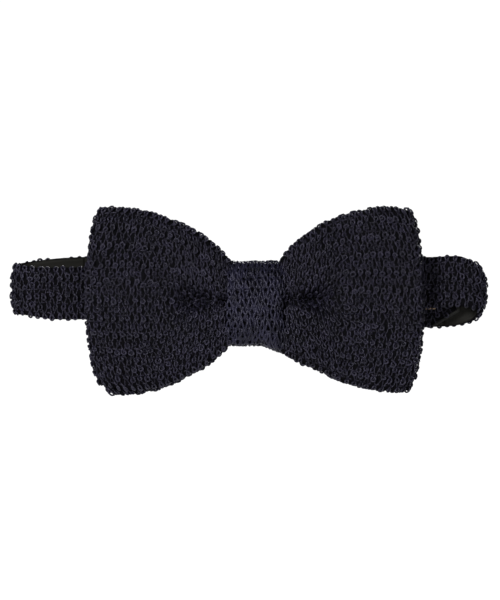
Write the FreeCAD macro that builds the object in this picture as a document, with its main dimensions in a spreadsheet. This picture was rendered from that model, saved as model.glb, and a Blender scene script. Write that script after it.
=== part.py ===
"""Ready-tied knitted bow on an adjustable neckband, with a hook-and-eye clasp and a three-bar slider.

The frame has +Z up and the bow facing -Y. The origin is the middle of the knot wrap's back face, which
rests against the collar. All sizes are in millimetres. The neckband lies flat as a loop: a front strand
behind the bow, a fold at each end, and two rear strands with the open clasp between them.
"""
import FreeCAD, Part
import math
import os

from FreeCAD import Placement, Rotation, Vector

doc = FreeCAD.newDocument("KnittedBow")

# Driving dimensions: alias, value.
DIMENSIONS = [
    # bow
    ("bow_width", 118.0),
    ("bow_tall", 65.0),
    ("bow_front_y", -16.4),
    ("bow_layer_thick", 5.1),
    ("bow_layer_gap", 0.3),
    ("back_layer_scale", 0.985),
    ("waist_tall", 22.6),
    ("waist_end_x", 11.2),
    # knot wrap
    ("wrap_wide", 21.9),
    ("wrap_top_z", 14.8),
    ("wrap_bottom_z", -15.3),
    ("wrap_front_y", -20.0),
    ("wrap_thick", 2.0),
    ("wrap_corner", 3.6),
    ("seam_z", 7.5),
    # band section
    ("band_tall", 17.0),
    ("knit_thick", 2.2),
    ("lining_thick", 0.4),
    ("lining_tall", 14.4),
    ("front_face_y", -4.9),
    ("centre_tall", 15.0),
    ("centre_z", 4.6),
    ("swing_x", 14.0),
    ("joint_gap", 0.3),
    # front strand
    ("front_height", 5.2),
    ("front_tilt", 1.23),
    # left fold and left rear strand
    ("left_fold_x", 86.1),
    ("left_fold_radius", 8.05),
    ("left_rear_height", 11.17),
    ("left_rear_tilt", 4.2),
    ("left_rear_end_x", -15.0),
    # right fold and right rear strand
    ("right_fold_x", 81.6),
    ("right_fold_radius", 5.95),
    ("right_rear_height", -5.24),
    ("right_rear_tilt", 4.3),
    ("strap_split_x", 38.0),
    ("strap_turn_x", 17.0),
    ("strap_turn_radius", 3.3),
    ("loop_return_end_x", 25.0),
    ("tail_start_x", 45.6),
    ("tail_end_x", 71.3),
    ("tail_slant_long", 9.8),
    ("tail_slant_rise", 5.3),
    # slider
    ("slider_x", 50.0),
    ("slider_long", 9.0),
    ("slider_inner_tall", 17.6),
    ("slider_rail", 1.2),
    ("slider_sheet", 0.8),
    # eye
    ("eye_long", 7.6),
    ("eye_inner_tall", 17.6),
    ("eye_rail", 1.4),
    ("eye_sheet", 0.9),
    ("eye_slot_tall", 9.0),
    ("eye_slot_wide", 2.6),
    # hook
    ("hook_tall", 7.0),
    ("hook_sheet", 0.8),
    ("hook_bar_x", -16.8),
    ("hook_tip_x", 1.0),
    ("hook_lip_long", 5.2),
    ("hook_lip_rise", 2.3),
    ("hook_bar_radius", 0.6),
    ("hook_bar_tall", 12.0),
    # hem round the hook's bar
    ("hem_long", 5.2),
    ("hem_past_end", 0.3),
    ("hem_bore_radius", 0.85),
    ("hem_bore_tall", 12.6),
    ("hem_mouth_long", 3.0),
    ("hem_mouth_room", 0.6),
    # sewing
    ("thread_radius", 0.25),
    ("thread_lift", 0.02),
    ("tack_pitch", 2.0),
    ("tack_stitch_long", 1.6),
    ("slider_tack_inset", 1.7),
    ("hook_tack_inset", 1.9),
    ("seam_stitch_long", 2.2),
    ("edge_tack_x", 59.3),
    ("edge_tack_pitch", 1.5),
    ("edge_tack_long", 1.0),
    ("edge_tack_drop", 0.06),
    # room left between parts
    ("slider_room", 0.3),
    ("eye_room", 0.35),
    ("eye_bar_half", 0.5),
    ("eye_slot_inset", 0.9),
]

sheet = doc.addObject("Spreadsheet::Sheet", "Dims")
for row, (alias, size) in enumerate(DIMENSIONS, start=1):
    sheet.set(f"A{row}", alias)
    sheet.set(f"B{row}", str(size))
    sheet.setAlias(f"B{row}", alias)
doc.recompute()

SEAM_STITCHES = 7
SEAM_LEAN = (0.25, 0, 1)
TACK_LEAN = (0.3, 0, 1)
EDGE_TACK_LEAN = (1, 0, 0.1)

# One wing's outline, from the top of the waist round to its foot, as shares of the bow's half width and
# half height. The wing swells steeply beside the knot and has its corners at the outer end.
WING_OUTLINE = [
    (0.205, 0.56), (0.33, 0.76), (0.50, 0.90), (0.70, 0.985), (0.87, 1.00),
    (0.935, 0.92), (0.965, 0.62), (0.995, 0.00), (0.965, -0.62), (0.935, -0.88),
    (0.86, -0.985), (0.68, -0.95), (0.50, -0.87), (0.33, -0.73), (0.215, -0.56),
]


def value(alias):
    """The number in a cell of the sheet."""
    return float(sheet.get(alias))


def bind(item, **expressions):
    """Bind properties of an object to expressions of sheet cells."""
    for name, expression in expressions.items():
        item.setExpression(name, expression)
    return item


def block(name, size, corner):
    """A box whose three sizes and lowest corner are expressions."""
    item = doc.addObject("Part::Box", name)
    bind(item, Length=size[0], Width=size[1], Height=size[2])
    for axis, expression in zip("xyz", corner):
        item.setExpression(f"Placement.Base.{axis}", expression)
    return item


def rod(name, radius, length, centre, direction):
    """A round bar of fixed direction, centred on a point, with its radius and length as expressions."""
    item = doc.addObject("Part::Cylinder", name)
    bind(item, Radius=radius, Height=length)
    turn = Rotation(Vector(0, 0, 1), Vector(*direction))
    doc.recompute()
    start = Vector(*centre) - turn.multVec(Vector(0, 0, item.Height.Value / 2))
    item.Placement = Placement(start, turn)
    return item


def cut(name, base, tool):
    """The first solid less the second."""
    item = doc.addObject("Part::Cut", name)
    item.Base = base
    item.Tool = tool
    return item


def fuse(name, pieces):
    """Several solids joined into one."""
    item = doc.addObject("Part::MultiFuse", name)
    item.Shapes = pieces
    item.Refine = True
    return item


def node(item, label):
    """Mark an object as a finished sub-part, under the label that names its file."""
    item.Label = label
    NODES.append(item)
    return item


def lean(item, height, tilt):
    """Stand a strand's piece at its height, rising towards +X by the tilt in degrees."""
    item.Placement = Placement(Vector(0, 0, height), Rotation(Vector(0, 1, 0), -tilt))
    return item


def quarter_turn(name, centre_x, centre_y, outer, thick, tall, quadrant):
    """A quarter of an upright ring about a vertical line: half of a band's fold."""
    parts = []
    for suffix, radius in (("outer", outer), ("inner", f"{outer} - ({thick})")):
        drum = doc.addObject("Part::Cylinder", f"{name}_{suffix}")
        bind(drum, Radius=radius, Height=tall)
        drum.Angle = 90
        drum.setExpression("Placement.Base.x", centre_x)
        drum.setExpression("Placement.Base.y", centre_y)
        drum.setExpression("Placement.Base.z", f"-({tall}) / 2")
        drum.Placement.Rotation = Rotation(Vector(0, 0, 1), 90 * quadrant)
        parts.append(drum)
    return cut(name, *parts)


def outline_face(runs, y):
    """A flat upright face at y inside closed runs of points: straight for two, a spline for more."""
    edges = []
    for run in runs:
        corners = [Vector(x, y, z) for x, z in run]
        if len(corners) == 2:
            edges.append(Part.LineSegment(*corners).toShape())
        else:
            curve = Part.BSplineCurve()
            curve.interpolate(corners)
            edges.append(curve.toShape())
    return Part.Face(Part.Wire(edges))


def bow_layer(label, front_y, scale):
    """One strip of the bow: two wings joined by the pinched waist, as a plate facing -Y."""
    half_wide = value("bow_width") / 2 * scale
    half_tall = value("bow_tall") / 2 * scale
    waist_x = value("waist_end_x")
    waist_z = value("waist_tall") / 2
    right = [(x * half_wide, z * half_tall) for x, z in WING_OUTLINE]
    left = [(-x, z) for x, z in reversed(right)]
    runs = [
        [(-waist_x, waist_z), (waist_x, waist_z)],
        [(waist_x, waist_z), right[0]],
        right,
        [right[-1], (waist_x, -waist_z)],
        [(waist_x, -waist_z), (-waist_x, -waist_z)],
        [(-waist_x, -waist_z), left[0]],
        left,
        [left[-1], (-waist_x, waist_z)],
    ]
    item = doc.addObject("Part::Feature", label)
    item.Shape = outline_face(runs, front_y).extrude(Vector(0, value("bow_layer_thick"), 0))
    return node(item, label)


def bow():
    """The two knitted strips of the bow and the thread that gathers their waists."""
    front_y = value("bow_front_y")
    back_y = front_y + value("bow_layer_thick") + value("bow_layer_gap")
    bow_layer("front_bow", front_y, 1.0)
    bow_layer("back_bow", back_y, value("back_layer_scale"))
    waist_binding(front_y, back_y + value("bow_layer_thick"))


def waist_binding(front_y, back_y):
    """Three turns of winding thread round both waists, each a rounded rectangular loop."""
    radius = value("thread_radius")
    slack = 2 * radius
    half_tall = value("waist_tall") / 2 + slack
    loops = []
    for turn in (-1, 0, 1):
        x = turn * 4 * radius
        loop = rounded_loop(x, front_y - slack, back_y + slack, -half_tall, half_tall, 4 * radius)
        start = loop.Edges[0].Vertexes[0].Point
        tangent = loop.Edges[0].tangentAt(loop.Edges[0].FirstParameter)
        section = Part.Wire([Part.Circle(start, tangent, radius).toShape()])
        loops.append(loop.makePipeShell([section], True, True))
    item = doc.addObject("Part::Feature", "gathering_thread")
    item.Shape = Part.makeCompound(loops)
    node(item, "gathering_thread")


def rounded_loop(x, low_y, high_y, low_z, high_z, corner):
    """A closed wire in the plane of constant X: a rectangle with round corners."""
    edges = []
    centres = [
        (high_y - corner, high_z - corner, 0),
        (low_y + corner, high_z - corner, 90),
        (low_y + corner, low_z + corner, 180),
        (high_y - corner, low_z + corner, 270),
    ]
    last = None
    for centre_y, centre_z, start in centres:
        ends = []
        for angle in (start, start + 45, start + 90):
            turn = math.radians(angle)
            ends.append(Vector(x, centre_y + corner * math.cos(turn), centre_z + corner * math.sin(turn)))
        if last is not None:
            edges.append(Part.LineSegment(last, ends[0]).toShape())
        edges.append(Part.Arc(*ends).toShape())
        last = ends[2]
    edges.append(Part.LineSegment(last, edges[0].Vertexes[0].Point).toShape())
    return Part.Wire(Part.__sortEdges__(edges))


def knot_wrap():
    """The strip round the waist: a rounded tunnel along X, closed at the back by a row of stitches."""
    low_z = value("wrap_bottom_z")
    high_z = value("wrap_top_z")
    front_y = value("wrap_front_y")
    thick = value("wrap_thick")
    corner = value("wrap_corner")
    half_wide = value("wrap_wide") / 2
    outer = rounded_loop(-half_wide, front_y, 0, low_z, high_z, corner)
    inner = rounded_loop(-half_wide, front_y + thick, -thick, low_z + thick, high_z - thick, corner - thick)
    item = doc.addObject("Part::Feature", "knot_wrap")
    along = Vector(2 * half_wide, 0, 0)
    item.Shape = Part.Face(outer).extrude(along).cut(Part.Face(inner).extrude(along))
    node(item, "knot_wrap")
    pitch = 2 * half_wide / SEAM_STITCHES
    lift = value("thread_radius") + value("thread_lift")
    centres = [(-half_wide + pitch * (step + 0.5), lift, value("seam_z")) for step in range(SEAM_STITCHES)]
    stitches("wrap_seam", centres, SEAM_LEAN, value("seam_stitch_long"))


def stitches(label, centres, direction, length, height=0.0, tilt=0.0):
    """A row of short thread dashes, one solid each, in one node."""
    rods = []
    for centre in centres:
        along = Vector(*direction).normalize()
        start = Vector(*centre) - along * (length / 2)
        rods.append(Part.makeCylinder(value("thread_radius"), length, start, along))
    item = doc.addObject("Part::Feature", label)
    item.Shape = Part.makeCompound(rods)
    lean(item, height, tilt)
    return node(item, label)


def tack_column(x, y):
    """Centres of a bar tack's stitches, one above the other across the band."""
    return [(x, y, value("tack_pitch") * step) for step in range(-3, 4)]


def straight_run(name, low_x, high_x, low_y, thick, tall):
    """A straight flat run of band along X, centred on the strand's line."""
    return block(name, (f"({high_x}) - ({low_x})", thick, tall), (low_x, low_y, f"-({tall}) / 2"))


def neckband_centre():
    """The stretch of band inside the knot wrap, gathered a little narrower, with its lining."""
    wide = "2 * (Dims.swing_x - Dims.joint_gap)"
    knit = block("centre_knit", (wide, "Dims.knit_thick", "Dims.centre_tall"),
                 ("-Dims.swing_x + Dims.joint_gap", "Dims.front_face_y",
                  "Dims.centre_z - Dims.centre_tall / 2"))
    node(knit, "neckband_centre")
    lining = block("centre_lining", (wide, "Dims.lining_thick", "Dims.centre_tall - 2"),
                   ("-Dims.swing_x + Dims.joint_gap", "Dims.front_face_y + Dims.knit_thick",
                    "Dims.centre_z - Dims.centre_tall / 2 + 1"))
    node(lining, "neckband_centre_lining")


LAYERS = {
    # layer: thickness, height, and how far its outer face lies inside the band's outer face
    "band": ("Dims.knit_thick", "Dims.band_tall", "0"),
    "lining": ("Dims.lining_thick", "Dims.lining_tall", "Dims.knit_thick"),
}


def front_strand(side):
    """The front strand on one side: from the swing line out to the middle of the fold."""
    name = "left" if side < 0 else "right"
    radius = f"Dims.{name}_fold_radius"
    centre_x = f"{side} * (Dims.{name}_fold_x - {radius} + Dims.joint_gap / 2)"
    centre_y = f"Dims.front_face_y + {radius}"
    for layer, (thick, tall, inset) in LAYERS.items():
        label = f"{name}_front_{layer}"
        ends = [centre_x, f"{side} * (Dims.swing_x + Dims.joint_gap)"]
        low_x, high_x = ends if side < 0 else reversed(ends)
        run = straight_run(f"{label}_run", low_x, high_x, f"Dims.front_face_y + {inset}", thick, tall)
        turn = quarter_turn(f"{label}_turn", centre_x, f"{centre_y} - Dims.joint_gap / 2",
                            f"{radius} - {inset} - Dims.joint_gap / 2", thick, tall, 2 if side < 0 else 3)
        strand = lean(fuse(label, [run, turn]), value("front_height"), value("front_tilt"))
        node(strand, label)


def rear_strand(side, split_x):
    """A rear strand on one side: from the middle of the fold back to where its next piece starts."""
    name = "left" if side < 0 else "right"
    radius = f"Dims.{name}_fold_radius"
    centre_x = f"{side} * (Dims.{name}_fold_x - {radius} + Dims.joint_gap / 2)"
    centre_y = f"Dims.front_face_y + {radius}"
    outer_y = f"Dims.front_face_y + 2 * {radius}"
    for layer, (thick, tall, inset) in LAYERS.items():
        label = f"{name}_rear_{layer}"
        ends = [centre_x, split_x]
        low_x, high_x = ends if side < 0 else reversed(ends)
        run = straight_run(f"{label}_run", low_x, high_x, f"{outer_y} - {inset} - {thick}", thick, tall)
        turn = quarter_turn(f"{label}_turn", centre_x, f"{centre_y} + Dims.joint_gap / 2",
                            f"{radius} - {inset} - Dims.joint_gap / 2", thick, tall, 1 if side < 0 else 0)
        strand = fuse(label, [run, turn])
        lean(strand, value(f"{name}_rear_height"), value(f"{name}_rear_tilt"))
        node(strand, label)


def strap_loop():
    """The end of the right rear strand, turned back through the eye. It slides to size the band."""
    radius = "Dims.strap_turn_radius"
    outer_y = "Dims.front_face_y + 2 * Dims.right_fold_radius"
    for layer, (thick, tall, inset) in LAYERS.items():
        label = f"strap_loop_{layer}"
        main = straight_run(f"{label}_main", "Dims.strap_turn_x", "Dims.strap_split_x - Dims.joint_gap",
                            f"{outer_y} - {inset} - {thick}", thick, tall)
        back = straight_run(f"{label}_back", "Dims.strap_turn_x", "Dims.loop_return_end_x",
                            f"{outer_y} - 2 * {radius} + {inset}", thick, tall)
        turns = [
            quarter_turn(f"{label}_turn_{quadrant}", "Dims.strap_turn_x", f"{outer_y} - {radius}",
                         f"{radius} - {inset}", thick, tall, quadrant)
            for quadrant in (1, 2)
        ]
        strand = fuse(label, [main, back] + turns)
        lean(strand, value("right_rear_height"), value("right_rear_tilt"))
        node(strand, label)


def strap_tail():
    """The doubled-back end of the strap, sewn to the slider, with a slanted finished tip."""
    start = value("tail_start_x")
    end = value("tail_end_x")
    slant_start = end - value("tail_slant_long")
    rise = value("tail_slant_rise")
    outer_y = value("front_face_y") + 2 * value("right_fold_radius")
    knit_y = outer_y - 2 * value("strap_turn_radius")
    lining_y = knit_y + value("knit_thick")
    for layer, low_y in (("band", knit_y), ("lining", lining_y)):
        thick, tall, _ = LAYERS[layer]
        half = value(tall.split(".")[1]) / 2
        corners = [(start, -half), (slant_start, -half), (end, rise - half), (end, half), (start, half)]
        runs = [list(pair) for pair in zip(corners, corners[1:] + corners[:1])]
        item = doc.addObject("Part::Feature", f"strap_tail_{layer}")
        item.Shape = outline_face(runs, low_y).extrude(Vector(0, value(thick.split(".")[1]), 0))
        lean(item, value("right_rear_height"), value("right_rear_tilt"))
        node(item, f"strap_tail_{layer}")


def slider():
    """A formed three-bar slider: a frame round both strap layers, with a centre bar between them."""
    outer_y = value("front_face_y") + 2 * value("right_fold_radius")
    half_long = value("slider_long") / 2
    half_inner = value("slider_inner_tall") / 2
    rail = value("slider_rail")
    sheet_thick = value("slider_sheet")
    room = value("slider_room")
    front_y = outer_y - 2 * value("strap_turn_radius") - room - sheet_thick
    back_y = outer_y + room
    middle = value("slider_x")
    depth = back_y + sheet_thick - front_y
    pieces = []
    for end in (-1, 1):
        side_x = middle + end * (half_long - rail / 2) - rail / 2
        tall = 2 * (half_inner + rail)
        pieces.append(plain_block(f"slider_front_bar_{end}", (rail, sheet_thick, tall),
                                  (side_x, front_y, -tall / 2)))
        pieces.append(plain_block(f"slider_back_bar_{end}", (rail, sheet_thick, tall),
                                  (side_x, back_y, -tall / 2)))
        rail_z = half_inner if end > 0 else -half_inner - rail
        pieces.append(plain_block(f"slider_rail_{end}", (2 * half_long, depth, rail),
                                  (middle - half_long, front_y, rail_z)))
    centre_y = outer_y - value("strap_turn_radius") - sheet_thick / 2
    pieces.append(plain_block("slider_centre_bar", (2 * rail, sheet_thick, 2 * half_inner + rail),
                              (middle - rail, centre_y, -half_inner - rail / 2)))
    frame = lean(fuse("slider_frame", pieces), value("right_rear_height"), value("right_rear_tilt"))
    node(frame, "slider_frame")
    tack_y = outer_y - 2 * value("strap_turn_radius") - value("thread_radius") - value("thread_lift")
    centres = tack_column(middle + half_long + value("slider_tack_inset"), tack_y)
    stitches("slider_tack", centres, TACK_LEAN, value("tack_stitch_long"),
             value("right_rear_height"), value("right_rear_tilt"))


def plain_block(name, size, corner):
    """A box given by numbers worked out from the sheet."""
    return block(name, [str(round(number, 4)) for number in size],
                 [str(round(number, 4)) for number in corner])


def clasp_eye():
    """The eye: a stamped ring whose bar sits in the strap's turn, with a slot for the hook."""
    outer_y = value("front_face_y") + 2 * value("right_fold_radius")
    middle_y = outer_y - value("strap_turn_radius")
    thick = value("eye_sheet")
    rail = value("eye_rail")
    inner = value("eye_inner_tall")
    bar_x = value("strap_turn_x")
    tall = inner + 2 * rail
    left_x = bar_x - value("eye_long")
    bar_half = value("eye_bar_half")
    plate = plain_block("eye_plate", (bar_x + bar_half - left_x, thick, tall),
                        (left_x, middle_y - thick / 2, -tall / 2))
    turn_room = value("strap_turn_radius") + value("eye_room")
    cut_low_y, cut_deep = middle_y - 1.5 * thick, 3 * thick
    window = plain_block("eye_window", (turn_room - bar_half, cut_deep, inner),
                         (bar_x - turn_room, cut_low_y, -inner / 2))
    slot_wide, slot_tall = value("eye_slot_wide"), value("eye_slot_tall")
    slot = plain_block("eye_slot", (slot_wide, cut_deep, slot_tall),
                       (left_x + value("eye_slot_inset"), cut_low_y, -slot_tall / 2))
    eye = cut("clasp_eye_form", cut("eye_ring", plate, window), slot)
    node(lean(eye, value("right_rear_height"), value("right_rear_tilt")), "clasp_eye")


def clasp_hook():
    """The hook: a flat tongue with its lip turned outwards, on a bar in the left rear strand's end."""
    outer_y = value("front_face_y") + 2 * value("left_fold_radius")
    thick = value("hook_sheet")
    mid_y = outer_y - (value("knit_thick") + value("lining_thick")) / 2
    low_y = mid_y - thick / 2
    tall = value("hook_tall")
    bar_x = value("hook_bar_x")
    tip_x = value("hook_tip_x")
    rise = value("hook_lip_rise")
    pieces = [
        plain_block("hook_tongue", (tip_x - bar_x, thick, tall), (bar_x, low_y, -tall / 2)),
        plain_block("hook_tip", (thick, rise + thick, tall), (tip_x - thick, low_y, -tall / 2)),
        plain_block("hook_lip", (value("hook_lip_long"), thick, tall),
                    (tip_x - value("hook_lip_long"), low_y + rise, -tall / 2)),
        rod("hook_bar", "Dims.hook_bar_radius", "Dims.hook_bar_tall", (bar_x, mid_y, 0), (0, 0, 1)),
    ]
    hook = lean(fuse("clasp_hook", pieces), value("left_rear_height"), value("left_rear_tilt"))
    node(hook, "clasp_hook")


def hook_end():
    """The folded end of the left rear strand: a hem round the hook's bar, closed by a bar tack."""
    outer_y = value("front_face_y") + 2 * value("left_fold_radius")
    thick = value("knit_thick") + value("lining_thick")
    end_x = value("left_rear_end_x")
    tall = value("band_tall")
    low_y = outer_y - thick
    hem_long = value("hem_long")
    hem_x = end_x + value("hem_past_end") - hem_long
    hem = plain_block("hem_block", (hem_long, thick, tall), (hem_x, low_y, -tall / 2))
    mouth_tall = value("hook_tall") + value("hem_mouth_room")
    bar_x = value("hook_bar_x")
    mouth = plain_block("hem_mouth", (value("hem_mouth_long"), 2 * thick, mouth_tall),
                        (bar_x, low_y - thick / 2, -mouth_tall / 2))
    sleeve = rod("hem_sleeve", "Dims.hem_bore_radius", "Dims.hem_bore_tall",
                 (bar_x, outer_y - thick / 2, 0), (0, 0, 1))
    form = cut("hem_form", cut("hem_bored", hem, sleeve), mouth)
    node(lean(form, value("left_rear_height"), value("left_rear_tilt")), "hook_hem")
    tack_y = outer_y + value("thread_radius") + value("thread_lift")
    centres = tack_column(bar_x - value("hook_tack_inset"), tack_y)
    stitches("hook_tack", centres, TACK_LEAN, value("tack_stitch_long"),
             value("left_rear_height"), value("left_rear_tilt"))


def edge_tack():
    """Three short stitches that catch the lining at the lower edge of the right front strand."""
    lining_y = value("front_face_y") + value("knit_thick")
    low_z = -value("band_tall") / 2 - value("thread_radius") - value("edge_tack_drop")
    pitch = value("edge_tack_pitch")
    centres = [(value("edge_tack_x") + pitch * step, lining_y, low_z) for step in range(3)]
    stitches("edge_tack", centres, EDGE_TACK_LEAN, value("edge_tack_long"),
             value("front_height"), value("front_tilt"))


def check_document():
    """Stop if any object failed to compute or any sub-part has a bad shape."""
    for item in doc.Objects:
        bad = [state for state in item.State if state in ("Invalid", "Error")]
        if bad:
            raise RuntimeError(f"{item.Label} is {bad}")
    for item in NODES:
        if item.Shape.isNull() or not item.Shape.isValid() or not item.Shape.Solids:
            raise RuntimeError(f"{item.Label} has no valid solid")


NODES = []
bow()
knot_wrap()
neckband_centre()
front_strand(-1)
front_strand(1)
rear_strand(-1, "Dims.left_rear_end_x - 5.0")
rear_strand(1, "Dims.strap_split_x")
strap_loop()
strap_tail()
slider()
clasp_eye()
clasp_hook()
hook_end()
edge_tack()
doc.recompute()
check_document()

os.makedirs("parts", exist_ok=True)
for item in NODES:
    item.Shape.exportStep(os.path.join("parts", item.Label + ".step"))
    box = item.Shape.BoundBox
    print(f"{item.Label:24s} solids {len(item.Shape.Solids)} volume {item.Shape.Volume:9.1f}"
          f"  X {box.XMin:6.1f} {box.XMax:6.1f}  Y {box.YMin:6.1f} {box.YMax:6.1f}"
          f"  Z {box.ZMin:6.1f} {box.ZMax:6.1f}")
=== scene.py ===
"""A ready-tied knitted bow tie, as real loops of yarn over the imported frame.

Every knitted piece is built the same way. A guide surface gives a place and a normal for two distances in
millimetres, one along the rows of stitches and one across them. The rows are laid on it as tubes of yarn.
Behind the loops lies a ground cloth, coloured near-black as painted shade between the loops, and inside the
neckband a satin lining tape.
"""

import math

import bpy
import numpy as np
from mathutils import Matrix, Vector


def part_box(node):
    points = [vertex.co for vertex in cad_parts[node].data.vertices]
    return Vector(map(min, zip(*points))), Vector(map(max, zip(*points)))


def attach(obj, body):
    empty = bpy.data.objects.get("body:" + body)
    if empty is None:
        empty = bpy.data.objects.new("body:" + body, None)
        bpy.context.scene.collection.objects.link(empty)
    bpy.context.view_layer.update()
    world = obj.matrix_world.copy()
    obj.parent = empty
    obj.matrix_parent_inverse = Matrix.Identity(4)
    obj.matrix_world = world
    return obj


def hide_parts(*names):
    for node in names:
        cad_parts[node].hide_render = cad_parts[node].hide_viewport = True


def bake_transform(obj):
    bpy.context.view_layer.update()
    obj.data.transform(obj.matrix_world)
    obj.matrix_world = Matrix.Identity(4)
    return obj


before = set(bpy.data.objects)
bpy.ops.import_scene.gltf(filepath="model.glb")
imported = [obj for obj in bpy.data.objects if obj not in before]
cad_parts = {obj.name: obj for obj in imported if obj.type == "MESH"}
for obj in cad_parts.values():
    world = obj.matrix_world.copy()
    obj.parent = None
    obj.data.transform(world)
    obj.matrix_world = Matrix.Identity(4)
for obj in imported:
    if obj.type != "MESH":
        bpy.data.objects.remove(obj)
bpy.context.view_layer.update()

MM = 0.001
TAU = 2 * math.pi
rng = np.random.default_rng(7)


# -------------------- places, in millimetres, from the frame

def low(name):
    return np.array(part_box(name)[0]) / MM


def high(name):
    return np.array(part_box(name)[1]) / MM


YARN_PROUD = 0.75          # from a guide surface to the loops' outermost points, about
KNIT_THICK = 2.2
BAND_HALF = 8.5            # half the neckband's width

FRONT_Y = low("left_front_band")[1]
LEFT_BACK_Y = high("left_rear_band")[1]
RIGHT_BACK_Y = high("right_rear_band")[1]
LEFT_FOLD_X = low("left_front_band")[0]
RIGHT_FOLD_X = high("right_front_band")[0]
KNOT_LOW, KNOT_HIGH = low("knot_wrap"), high("knot_wrap")
STRAP_TURN_RADIUS = (high("strap_loop_band")[1] - low("strap_loop_band")[1]) / 2
STRAP_TURN_X = low("strap_loop_band")[0] + STRAP_TURN_RADIUS
TAIL_END_X = high("strap_tail_band")[0]
HEM_END_X = high("hook_hem")[0]
WING_FRONT_Y, WING_BACK_Y = low("front_bow")[1], high("back_bow")[1]
WING_MIDDLE_Y = (high("front_bow")[1] + low("back_bow")[1]) / 2


# -------------------- small numeric helpers

def smooth(value):
    """Smoothstep of a value, clipped to 0..1."""
    t = np.clip(value, 0.0, 1.0)
    return t * t * (3 - 2 * t)


def unit(vectors):
    """The same vectors at length one."""
    size = np.linalg.norm(vectors, axis=-1, keepdims=True)
    return vectors / np.maximum(size, 1e-9)


def lengths(path):
    """The distance along a path at each of its points."""
    return np.concatenate([[0], np.cumsum(np.linalg.norm(np.diff(path, axis=0), axis=1))])


def through(points, where):
    """A smooth curve through a few (position, value) points, read at any positions."""
    at, values = np.array(points, float).T
    slopes = np.gradient(values, at)
    index = np.clip(np.searchsorted(at, where) - 1, 0, len(at) - 2)
    span = at[index + 1] - at[index]
    t = np.clip((where - at[index]) / span, 0, 1)
    lead, trail = slopes[index] * span, slopes[index + 1] * span
    return ((2 * t**3 - 3 * t**2 + 1) * values[index] + (t**3 - 2 * t**2 + t) * lead
            + (3 * t**2 - 2 * t**3) * values[index + 1] + (t**3 - t**2) * trail)


def read_grid(grid, rows, columns, u, v):
    """Bilinear reading of a grid of values at (u, v)."""
    i = np.clip(np.interp(u, rows, np.arange(len(rows))), 0, len(rows) - 1.001)
    j = np.clip(np.interp(v, columns, np.arange(len(columns))), 0, len(columns) - 1.001)
    i0, j0 = i.astype(int), j.astype(int)
    fi, fj = (i - i0)[..., None], (j - j0)[..., None]
    near = grid[i0, j0] * (1 - fj) + grid[i0, j0 + 1] * fj
    far = grid[i0 + 1, j0] * (1 - fj) + grid[i0 + 1, j0 + 1] * fj
    return near * (1 - fi) + far * fi


class Surface:
    """A guide surface: a grid of points over distances along and across, with normals.

    outward is the rough direction in which the normals point at the first step along.
    """

    def __init__(self, points, along, across, outward):
        self.points, self.along, self.across = points, along, across
        self.normals = unit(np.cross(np.gradient(points, axis=0), np.gradient(points, axis=1)))
        if (self.normals[0] * outward).sum() < 0:
            self.normals = -self.normals

    def place(self, u, v, height):
        """Points at a height over the surface, and the surface's normals there."""
        normals = unit(read_grid(self.normals, self.along, self.across, u, v))
        points = read_grid(self.points, self.along, self.across, u, v)
        return points + normals * np.asarray(height)[..., None], normals


# -------------------- meshes

class MeshMaker:
    """Collects quads with two UV maps, and makes one object of them."""

    def __init__(self):
        self.vertices, self.quads, self.cloth_uv, self.bake_uv = [], [], [], []
        self.count = 0

    def add(self, vertices, quads, cloth_uv, bake_uv):
        self.vertices.append(vertices)
        self.quads.append(quads + self.count)
        self.cloth_uv.append(cloth_uv)
        self.bake_uv.append(bake_uv)
        self.count += len(vertices)

    def loop_grid(self, points, cloth, bake):
        """Quads over a grid of points that is closed across. The UV grids have one more column."""
        rows, columns = points.shape[:2]
        index = np.arange(rows * columns).reshape(rows, columns)
        index = np.concatenate([index, index[:, :1]], axis=1)
        uv_index = np.arange(rows * (columns + 1)).reshape(rows, columns + 1)
        quads, uv_quads = [
            np.stack([c.ravel() for c in (g[:-1, :-1], g[1:, :-1], g[1:, 1:], g[:-1, 1:])], axis=1)
            for g in (index, uv_index)]
        first = self.count
        self.add(points.reshape(-1, 3), quads,
                 cloth.reshape(-1, 2)[uv_quads], bake.reshape(-1, 2)[uv_quads])
        self.close_end(first, columns, cloth[0], bake[0], 1)
        self.close_end(first + (rows - 1) * columns, columns, cloth[-1], bake[-1], -1)

    def close_end(self, first, columns, cloth, bake, turn):
        """Quads across an open end, between its front points and its back points."""
        corners = [[k, k + 1, columns - 2 - k, columns - 1 - k][::turn] for k in range(columns // 2 - 1)]
        corners = np.array(corners)
        self.add(np.zeros((0, 3)), corners + first - self.count, cloth[corners], bake[corners])

    def build(self, name, material):
        vertices = np.concatenate(self.vertices) * MM
        quads = np.concatenate(self.quads).astype(np.int32)
        mesh = bpy.data.meshes.new(name)
        mesh.vertices.add(len(vertices))
        mesh.vertices.foreach_set("co", vertices.astype(np.float32).ravel())
        mesh.loops.add(quads.size)
        mesh.loops.foreach_set("vertex_index", quads.ravel())
        mesh.polygons.add(len(quads))
        mesh.polygons.foreach_set("loop_start", np.arange(0, quads.size, 4, dtype=np.int32))
        mesh.polygons.foreach_set("use_smooth", np.ones(len(quads), bool))
        mesh.update(calc_edges=True)
        for label, layers in (("OFBake", self.bake_uv), ("cloth", self.cloth_uv)):
            layer = mesh.uv_layers.new(name=label)
            layer.data.foreach_set("uv", np.concatenate(layers).astype(np.float32).ravel())
        mesh.materials.append(material)
        item = bpy.data.objects.new(name, mesh)
        bpy.context.scene.collection.objects.link(item)
        return item


# -------------------- yarn

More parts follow.
